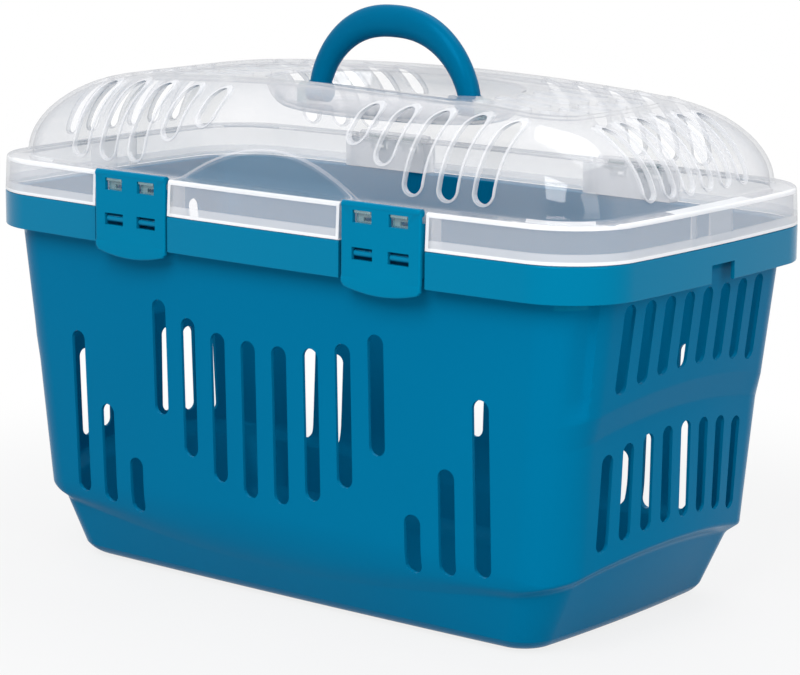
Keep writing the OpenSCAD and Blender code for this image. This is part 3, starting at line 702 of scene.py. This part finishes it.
# lid
lid = {
    "long": 200, "wide": 108, "low": 195.4, "high": 213.4, "wall": 1.8, "corner": 34,
    "bowSide": 7, "bowEnd": 5,
    "domeLong": 189, "domeWide": 96, "domeZ": 214.6, "domeHigh": 47, "domeIn": 45, "domeCorner": 24,
    "ridgeLong": 144, "ridgeWide": 51, "ridgeCorner": 20, "ridgeDrop": 6.3, "panelEdge": 5, "panelIn": 2.2,
    "archHigh": 17, "archLong": 54, "archIn": 1.4,
    "wellLong": 75, "wellWide": 42, "wellDeep": 16, "wellOff": 2.5, "wellRound": 0.9,    # 1 is an ellipse
    "slot": 10, "slotX": 49, "pitch": 20.2,
    "slots": [(25, 42), (17, 42), (4.5, 41.5), (3.5, 41), (3.5, 39.5)],     # ends, over the dome's foot
    "endSlot": 8, "endPitch": 16.1, "rim": 1.2, "rimOut": 0.5,
    "topSlot": 8, "topPitch": 16, "topBar": (112, 118),
    "lines": (196.9, 200.4, 211.3),     # heights of the skirt's lip, the step above it and its top edge
}
pivotZ = 249.7                      # height of the handle's pins
rodY, rodZ = 105.75, 212.8          # the clips' rods, which the lid's hooks hold


def crown(x):
    return lid["ridgeDrop"] * (x / lid["ridgeLong"]) ** 2


def domeRing(turn, inset=0):
    c, s = math.cos(math.radians(turn)), math.sin(math.radians(turn))
    grow = (lid["domeIn"] - inset) * c
    flat = outline(lid["ridgeLong"] + grow, lid["ridgeWide"] + grow, 1.5 + (lid["bowSide"] - 1.5) * c,
                   1.5 + (lid["bowEnd"] - 1.5) * c,
                   lid["ridgeCorner"] + (lid["domeCorner"] - lid["ridgeCorner"]) * c - inset / 2)
    ring = []
    for x, y in flat:
        z = lid["domeZ"] + (lid["domeHigh"] - inset - crown(x)) * s
        reach = lid["archHigh"] * max(0, 1 - (x / lid["archLong"]) ** 2)
        k = lid["archIn"] * smoothStep((reach - (z - lid["domeZ"])) / 4) if reach else 0
        ring.append((x, y - math.copysign(k, y), z))
    return ring


def panelRing(share, inset=0):
    # share 0 is the panel's edge, 1 is the edge of the well
    edge = outline(lid["ridgeLong"] - lid["panelEdge"], lid["ridgeWide"] - lid["panelEdge"], 1.5, 1.5,
                   lid["ridgeCorner"] - 2)
    inner = wellOutline(1.5)
    ring = []
    for (x, y), (u, v) in zip(edge, inner):
        x, y = x + (u - x) * share, y + (v - y) * share
        ring.append((x, y, lid["domeZ"] + lid["domeHigh"] - lid["panelIn"] - inset - crown(x)))
    return ring


def wellOutline(grow):
    e = lid["wellRound"]
    points = []
    for x, y in outline(100, 60, 1, 1, 30):
        a = math.atan2(y / 60, x / 100)
        u = math.copysign(abs(math.cos(a)) ** e, math.cos(a)) * (lid["wellLong"] + grow)
        v = math.copysign(abs(math.sin(a)) ** e, math.sin(a)) * (lid["wellWide"] + grow)
        points.append((u + lid["wellOff"], v))
    return points


def wellRings(inset=0):
    top = lid["domeZ"] + lid["domeHigh"] - lid["panelIn"]
    floorZ = top - lid["wellDeep"] - inset
    rings = []
    steps = ((0.4, 0.5), (-0.6, 2), (-1.6, 5), (-3, 8.5), (-5.5, 12), (-8.5, 14.3), (-12, 15.5), (-16, 16))
    for grow, down in steps:
        share = down / lid["wellDeep"]
        ring = []
        for x, y in wellOutline(grow + 0.6 * inset):
            high = top - inset - crown(x)
            ring.append((x, y, high + (floorZ - high) * share))
        rings.append(ring)
    return rings


def skirtRing(z, inset):
    return level(outline(lid["long"] - inset, lid["wide"] - inset, lid["bowSide"], lid["bowEnd"],
                         lid["corner"] - inset), z)


def domeTurns():
    # degrees up the dome's quarter turn, closer together over the arch
    return list(range(4, 30, 2)) + list(range(30, 88, 4))


def lidOuter(inset=0):
    return [
        [skirtRing(lid["low"], inset), 0],
        [skirtRing(lid["high"], 0.9 + inset), 1.5],
        [level(outline(lid["domeLong"] + 0.9 - inset, lid["domeWide"] + 0.9 - inset, lid["bowSide"],
                       lid["bowEnd"], lid["domeCorner"] + 1), lid["high"] + 0.6 - inset), 1.5],
    ] + [[domeRing(a, inset), 0] for a in domeTurns()] + [
        [domeRing(90, inset), 1.6],
        [panelRing(0, inset), 1],
    ]


def lidInner():
    wall = lid["wall"]
    return [
        [skirtRing(lid["low"], wall), 0],
        [skirtRing(lid["high"] - wall, wall + 0.9), 1],
        [level(outline(lid["domeLong"] - wall, lid["domeWide"] - wall, lid["bowSide"], lid["bowEnd"],
                       lid["domeCorner"] - 1), lid["high"] + 0.4 - wall), 1.5],
    ] + [[domeRing(a, wall), 0] for a in domeTurns()] + [
        [domeRing(90, wall), 1],
        [panelRing(0, wall), 1],
    ]


def allIn(block, paintedLightIndex):
    # gives every face of a block one of the lid's materials, by its number: 1 is the painted highlight, 4 the
    # painted shade
    paint(block, *lidClearAndPaintedLight)
    for face in block.data.polygons:
        face.material_index = paintedLightIndex
    return block


def closedLoft(name, rings):
    return loft(name, [folded(rings[0])] + rings + [folded(rings[-1])])


def lidSlots(rim=0):
    # side and end slots of the dome, or with a rim the raised borders round them
    cutters = []
    for s in (-1, 1):
        for side in (-1, 1):
            for i, (low, high) in enumerate(lid["slots"]):
                cutters.append(addSlot(s * (lid["slotX"] + lid["pitch"] * i), lid["domeZ"] + low - rim,
                                       lid["domeZ"] + high + rim, lid["slot"] + 2 * rim,
                                       min(side * 56, side * 112), max(side * 56, side * 112)))
            for j in range(3):
                cutters.append(addSlot(side * lid["endPitch"] * (j + 0.5), lid["domeZ"] + 5 - 0.8 * rim,
                                       lid["domeZ"] + 38 - 0.6 * j + 0.8 * rim, lid["endSlot"] + 1.6 * rim,
                                       min(s * 148, s * 200), max(s * 148, s * 200), "X"))
    return joined(cutters, "lidCutters")


def topSlots():
    cutters = []
    for s in (-1, 1):
        for j in range(-2, 3):
            less = 1.5 * abs(j)
            for a, b in ((81 - less, lid["topBar"][0]), (lid["topBar"][1], 136 - less)):
                low, high = sorted((s * a, s * b))
                cutters.append(addSlot(lid["topPitch"] * j, low, high, lid["topSlot"], 245, 265, "Z"))
    return joined(cutters, "topCutters")


hook = {"outer": 3.66, "bore": 2.06, "wide": 10, "plate": (204.7, 210), "plateY": (104, 105.3)}


def makeHook(x, s):
    # hook for a clip's rod, with the small plate that shows in the clip's window
    half = hook["wide"] / 2
    ring = addRod((x, s * rodY, rodZ), hook["outer"], hook["wide"], "X", 40, "hook")
    shaped(ring, addRod((x, s * rodY, rodZ), hook["bore"], 12, "X", 40), "DIFFERENCE")
    low, high = sorted((s * (rodY + 5), s * (rodY + 0.2)))
    shaped(ring, addBlock((x - 6, low, rodZ - 1.2), (x + 6, high, rodZ + 5)), "DIFFERENCE")
    low, high = sorted((s * (rodY + 5), s * (rodY + 1.5)))
    shaped(ring, addBlock((x - 6, low, rodZ - 5), (x + 6, high, rodZ + 5)), "DIFFERENCE")
    shaped(ring, addBlock((x - 6, s * rodY - 6, rodZ + 0.8), (x + 6, s * rodY + 6, rodZ + 5)), "DIFFERENCE")
    low, high = sorted((s * 97, s * rodY))
    shaped(ring, addBlock((x - half, low, rodZ - hook["outer"]), (x + half, high, rodZ - 2.1)), "UNION")
    low, high = sorted(s * y for y in hook["plateY"])
    plate = addBlock((x - half, low, hook["plate"][0]), (x + half, high, hook["plate"][1]))
    low, high = sorted((s * 103, s * 106))
    shaped(plate, addBlock((x - 0.6, low, 205.6), (x + 4.2, high, 207.6)), "DIFFERENCE")
    return shaped(ring, plate, "UNION")


lug = {"near": 54.9, "far": 61.1, "round": 4.3, "foot": 242.8, "bore": 2.56, "boreAt": 57.2}


def makeLug(s):
    near, far = sorted((lid["wellOff"] + s * lug["near"], lid["wellOff"] + s * lug["far"]))
    piece = addRod(((near + far) / 2, 0, pivotZ), lug["round"], 6.2, "X", 48, "lug")
    shaped(piece, addBlock((near, -lug["round"], lug["foot"]), (far, lug["round"], pivotZ)), "UNION")
    bore = addRod((lid["wellOff"] + s * lug["boreAt"], 0, pivotZ), lug["bore"], 6.6, "X", 40)
    return shaped(piece, bore, "DIFFERENCE")


def markEdges(piece):
    # cuts the skirt's lip, top edge and the clips' frames out of its wall and paints them: a painted
    # highlight on the lip, top edge, frames and the band under the step, a painted reflection on the rest of
    # the skirt
    cuts = [((0, 0, z), (0, 0, 1)) for z in lid["lines"]]
    cuts += [((x, 0, 200), (1, 0, 0)) for x in (-108.4, -53.6, 53.6, 108.4)]
    bpy.ops.object.select_all(action="DESELECT")
    piece.select_set(True)
    bpy.context.view_layer.objects.active = piece
    bpy.ops.object.mode_set(mode="EDIT")
    for place, normal in cuts:
        bm = bmesh.from_edit_mesh(piece.data)
        for f in bm.faces:
            c = f.calc_center_median()
            f.select = c.z < 0.2142 and (abs(c.y) > 0.09 or abs(c.x) > 0.185)
        bmesh.update_edit_mesh(piece.data)
        bpy.ops.mesh.bisect(plane_co=[p * mm for p in place], plane_no=normal)
    bpy.ops.object.mode_set(mode="OBJECT")
    lip, step, top = lid["lines"]
    for face in piece.data.polygons:
        x, y, z = (c * 1000 for c in face.center)
        rimward = abs(x) > 194 or abs(y) > lid["wide"] - lid["bowSide"] * (x / lid["long"]) ** 2 - 4
        corner = abs(x) > 150 and abs(y) > 75 and z < 213.2
        if z > 214.2 or face.material_index or not (rimward or corner):
            continue
        frame = 25.5 < abs(abs(x) - 81) < 27.5 and abs(y) > 100
        face.material_index = 3 if z < lip or z > top or frame else 1 if z < step else 2


def makeLid():
    wall = lid["wall"]
    slopes = [[panelRing(k / 5), 0] for k in range(1, 5)] + [[panelRing(1), 1.2]]
    slopesIn = [[panelRing(k / 5, wall), 0] for k in range(1, 6)]
    outer = softened(lidOuter() + slopes + [[r, 0] for r in wellRings()])
    inner = softened(lidInner() + slopesIn + [[r, 0] for r in wellRings(wall)])
    piece = closedLoft("lidShell", inner[::-1] + outer)
    paint(piece, *lidClearAndPaintedLight)

    pockets = []
    for x in clipPlaces:
        for s in (-1, 1):
            low, high = sorted((s * 96, s * 110))
            pockets.append(addBlock((x - 27.4, low, lid["low"] + 0.01), (x + 27.4, high, 215)))
    pockets = joined(pockets, "pockets")
    tabs = []
    for s in (-1, 1):
        for middle, width in ((6.2, 20), (-17.3, 4.5)):
            low, high = sorted((s * 196.7, s * 200))
            tabs.append(addBlock((low, s * middle - width / 2, lid["low"] + 0.02),
                                 (high, s * middle + width / 2, 213)))
    tabs = joined(tabs, "tabs")
    solid = closedLoft("solid", softened(lidOuter(0.2)))
    solidTwo = copied(solid, "solidTwo")
    shaped(pockets, solid, "INTERSECT")
    shaped(tabs, solidTwo, "INTERSECT")
    for block in (pockets, tabs):
        shaped(piece, allIn(block, 1), "UNION")
    voids = []
    for x in clipPlaces:
        for s in (-1, 1):
            low, high = sorted((s * 97.85, s * 112))
            voids.append(addBlock((x - bayHalf, low, 190), (x + bayHalf, high, lid["high"] - wall)))
            low, high = sorted((s * 102.5, s * 112))
            shaped(voids[-1], addBlock((x - bayHalf, low, 196), (x + bayHalf, high, 220)), "UNION")
    for void in voids:
        shaped(piece, allIn(void, 1), "DIFFERENCE")

    raised = closedLoft("raised", [domeRing(a, -lid["rimOut"]) for a in [2] + domeTurns() + [90]])
    hollow = closedLoft("hollow", [domeRing(a, 0.9) for a in [0] + domeTurns() + [90]])
    rims = lidSlots(lid["rim"])
    shaped(rims, raised, "INTERSECT")
    shaped(rims, hollow, "DIFFERENCE")
    shaped(piece, allIn(rims, 1), "UNION")
    for cutter in (lidSlots(), topSlots()):
        shaped(piece, allIn(cutter, 1), "DIFFERENCE")
    # hooks and lugs take material 4, the painted shade
    for part in [makeHook(x, s) for s in (-1, 1) for x in hookPlaces] + [makeLug(s) for s in (-1, 1)]:
        shaped(piece, allIn(part, 4), "UNION")
    markEdges(piece)
    finished(piece, "lid", "lid")
    return piece


makeLid()


# handle
handle = {"off": 2.5, "x": 49, "rise": 39.2, "grip": 16.5, "leg": 11, "deep": 11, "pin": 2.5, "pinLong": 5}


def handleRings():
    rings = []
    for i in range(73):
        a = math.pi * i / 72
        x = handle["x"] * math.copysign(abs(math.cos(a)) ** 0.86, math.cos(a))
        z = handle["rise"] * math.sin(a) ** 1.22 if 0 < i < 72 else 0
        t = Vector((-handle["x"] * math.sin(a), handle["rise"] * math.cos(a))).normalized()
        half = handle["leg"] / 2 + (handle["grip"] - handle["leg"]) / 2 * max(0, math.sin(a)) ** 1.6
        ring = []
        for k in range(40):
            b = 2 * math.pi * k / 40
            c, s = math.cos(b), math.sin(b)
            out = half * math.copysign(abs(c) ** 0.92, c)
            ring.append((x + t.y * out + handle["off"], handle["deep"] / 2 * math.copysign(abs(s) ** 0.92, s),
                         z - t.x * out + pivotZ))
        rings.append(ring)
    return rings


def pinched(ring):
    n = len(ring)
    return [tuple(sum(p[k] for p in ring) / n for k in range(3))] * n


def makeHandle():
    rings = handleRings()
    piece = loft("handleArch", [pinched(rings[0])] + rings + [pinched(rings[-1])])
    for s in (-1, 1):
        middle = handle["off"] + s * handle["x"]
        shaped(piece, addRod((middle, 0, pivotZ), handle["deep"] / 2, handle["leg"], "X", 64), "UNION")
        reach = handle["leg"] / 2 + 0.4 + handle["pinLong"]
        shaped(piece, addRod((middle + s * reach / 2, 0, pivotZ), handle["pin"], reach, "X", 40), "UNION")
    paint(piece, turquoiseHandle, turquoiseEdgeHighlight)
    finished(piece, "handle", "handle", 0.4, edgeHighlightIndex=1)
    return piece


makeHandle()


# snap clips
clip = {"wide": 48, "face": 107.6, "thick": 2.05, "low": 170.6, "high": 214.8, "sag": 3.5,
        "windowX": 11, "upper": (11.5, 204.8, 210.8), "lower": (12.6, 187, 193), "lip": 8, "lipOut": 0.4}


def clipOutline(inset):
    # seen from the front, the bottom edge hangs down in a shallow curve
    half, top, r = clip["wide"] / 2 - inset, clip["high"] - inset, 3 - inset
    bend = (clip["wide"] ** 2 / 4 + clip["sag"] ** 2) / (2 * clip["sag"])
    points = []
    for i in range(9):
        a = math.pi / 2 * i / 8
        points.append((half - r + r * math.cos(a), top - r + r * math.sin(a)))
    points += [(-x, z) for x, z in points[::-1]]
    edge = []
    for i in range(29):
        x = -half + 2 * half * i / 28
        z = clip["low"] + inset + bend - math.sqrt(bend ** 2 - x ** 2)
        near = max(0, abs(x) - (half - 1.6)) / 1.6
        edge.append((x, z + 1.4 * near ** 3))
    return points + edge


def makeClip():
    face, back = -clip["face"], -clip["face"] + clip["thick"]
    depths = ((back, 0.3), (back - 0.3, 0), (face + 0.9, 0), (face + 0.35, 0.15), (face + 0.1, 0.45),
              (face, 0.9))
    rings = [[(x, y, z) for x, z in clipOutline(inset)] for y, inset in depths]
    piece = loft("clip", [pinched(rings[0])] + rings + [pinched(rings[-1])])
    for w in (-clip["windowX"], clip["windowX"]):
        for width, low, high in (clip["upper"], clip["lower"]):
            window = addBlock((w - width / 2, face - 2, low), (w + width / 2, back + 2, high), "window")
            bpy.ops.object.mode_set(mode="EDIT")
            bm = bmesh.from_edit_mesh(window.data)
            for e in bm.edges:
                e.select = abs(e.verts[0].co.y - e.verts[1].co.y) > 0.002
            bm.select_flush(False)
            bmesh.update_edit_mesh(window.data)
            bpy.ops.mesh.bevel(offset=0.0008, segments=4)
            bpy.ops.object.mode_set(mode="OBJECT")
            shaped(piece, window, "DIFFERENCE")
    bpy.ops.object.mode_set(mode="EDIT")
    crease = (clip["low"] + clip["lip"]) * mm
    for z in (crease + 0.0003, crease - 0.0004):
        bpy.ops.mesh.select_all(action="SELECT")
        bpy.ops.mesh.bisect(plane_co=(0, 0, z), plane_no=(0, 0, 1))
    bm = bmesh.from_edit_mesh(piece.data)
    for v in bm.verts:
        v.select = v.co.z < crease - 0.0003
    bm.select_flush_mode()
    bmesh.update_edit_mesh(piece.data)
    bpy.ops.transform.translate(value=(0, -clip["lipOut"] * mm, 0))
    bpy.ops.object.mode_set(mode="OBJECT")
    for side in (-1, 1):
        rib = sorted((side * 22, side * 24))
        shaped(piece, addBlock((rib[0] + 0.02, back - 0.5, 182), (rib[1] - 0.02, back + 1.9, 208)), "UNION")
    shaped(piece, addRod((0, -rodY, rodZ), 2, clip["wide"] - 0.6, "X", 40), "UNION")
    return piece


def makeClips():
    first = makeClip()
    paint(first, turquoiseClip, turquoiseEdgeHighlight)
    for name, x, turn in (("front_left_clip", clipPlaces[0], 0), ("front_right_clip", clipPlaces[1], 0),
                          ("rear_left_clip", clipPlaces[0], 180), ("rear_right_clip", clipPlaces[1], 180)):
        piece = copied(first, name)
        if turn:
            paint(piece, clearRimHighlight)      # the rear pair is moulded clear, like the lid, in the slot rims' whiter painted highlight
        piece.rotation_euler = (0, 0, math.radians(turn))
        piece.location = (x * mm, 0, 0)
        setPlace(piece)
        finished(piece, name, name, 0.25, edgeHighlightIndex=0 if turn else 1)
    bpy.data.objects.remove(first, do_unlink=True)


makeClips()


# floor, background and lamps
studio = {
    "floor": (0.55, 0.55, 0.56, 1),
    "near": 0.83, "far": 1.0,        # how much of the floor's own white the eye sees
    "ambient": 0.52,
    "key": 29, "fill": 11, "back": 11,
}


def addFloor():
    bpy.ops.mesh.primitive_plane_add(size=12, location=(0, 0, -0.0005))
    floor = bpy.context.object
    floor.name = "studioFloor"
    setPlace(floor)
    mat, tree, shader = newMaterial("paleFloor")
    shader.inputs["Base Color"].default_value = studio["floor"]
    shader.inputs["Roughness"].default_value = 0.6
    white = addNode(tree, "ShaderNodeEmission")
    path = addNode(tree, "ShaderNodeLightPath")
    coords = addNode(tree, "ShaderNodeTexCoord")
    away = addNode(tree, "ShaderNodeVectorMath", operation="LENGTH")
    share = addNode(tree, "ShaderNodeMapRange", interpolation_type="SMOOTHSTEP")
    share.inputs["From Min"].default_value = 0.27
    share.inputs["From Max"].default_value = 0.5
    share.inputs["To Min"].default_value = studio["near"]
    share.inputs["To Max"].default_value = studio["far"]
    seen = addNode(tree, "ShaderNodeMath", operation="MAXIMUM")
    shown = addNode(tree, "ShaderNodeMath", operation="MAXIMUM")
    blend = addNode(tree, "ShaderNodeMixShader")
    mixed = addNode(tree, "ShaderNodeMath", operation="MULTIPLY")
    link = tree.links.new
    link(path.outputs["Is Camera Ray"], seen.inputs[0])
    link(path.outputs["Is Glossy Ray"], seen.inputs[1])
    link(seen.outputs["Value"], shown.inputs[0])
    link(path.outputs["Is Transmission Ray"], shown.inputs[1])
    link(coords.outputs["Object"], away.inputs[0])
    link(away.outputs["Value"], share.inputs["Value"])
    link(shown.outputs["Value"], mixed.inputs[0])
    link(share.outputs["Result"], mixed.inputs[1])
    link(mixed.outputs["Value"], blend.inputs["Fac"])
    link(shader.outputs["BSDF"], blend.inputs[1])
    link(white.outputs["Emission"], blend.inputs[2])
    link(blend.outputs["Shader"], tree.nodes["Material Output"].inputs["Surface"])
    paint(floor, mat)
    return floor


def addWorld():
    world = bpy.data.worlds.new("softRoom")
    bpy.context.scene.world = world
    world.use_nodes = True
    tree = world.node_tree
    back = tree.nodes["Background"]
    back.inputs["Color"].default_value = (0.96, 0.98, 1, 1)
    back.inputs["Strength"].default_value = studio["ambient"]
    white = addNode(tree, "ShaderNodeBackground")
    white.inputs["Color"].default_value = (1, 1, 1, 1)
    path = addNode(tree, "ShaderNodeLightPath")
    seen = addNode(tree, "ShaderNodeMath", operation="MAXIMUM")
    shown = addNode(tree, "ShaderNodeMath", operation="MAXIMUM")
    blend = addNode(tree, "ShaderNodeMixShader")
    link = tree.links.new
    link(path.outputs["Is Camera Ray"], seen.inputs[0])
    link(path.outputs["Is Glossy Ray"], seen.inputs[1])
    link(seen.outputs["Value"], shown.inputs[0])
    link(path.outputs["Is Transmission Ray"], shown.inputs[1])
    link(shown.outputs["Value"], blend.inputs["Fac"])
    link(back.outputs["Background"], blend.inputs[1])
    link(white.outputs["Background"], blend.inputs[2])
    link(blend.outputs["Shader"], tree.nodes["World Output"].inputs["Surface"])


def addLamp(name, place, aim, size, power):
    bpy.ops.object.light_add(type="AREA", location=place)
    lamp = bpy.context.object
    lamp.name = name
    lamp.data.shape = "RECTANGLE"
    lamp.data.size, lamp.data.size_y = size
    lamp.data.energy = power
    way = Vector(aim) - Vector(place)
    lamp.rotation_euler = way.to_track_quat("-Z", "Y").to_euler()
    return lamp


addFloor()
addWorld()
addLamp("keyBox", (0.35, -1.5, 1.5), (0, 0, 0.15), (1.2, 1.2), studio["key"])
addLamp("fillBox", (1.8, -0.5, 0.9), (0, 0, 0.15), (0.9, 1.4), studio["fill"])
addLamp("topBox", (0, 0.7, 1.9), (0, 0, 0.2), (1.6, 1.0), studio["back"])
print("stage lit")

bpy.context.scene.view_settings.view_transform = "Standard"
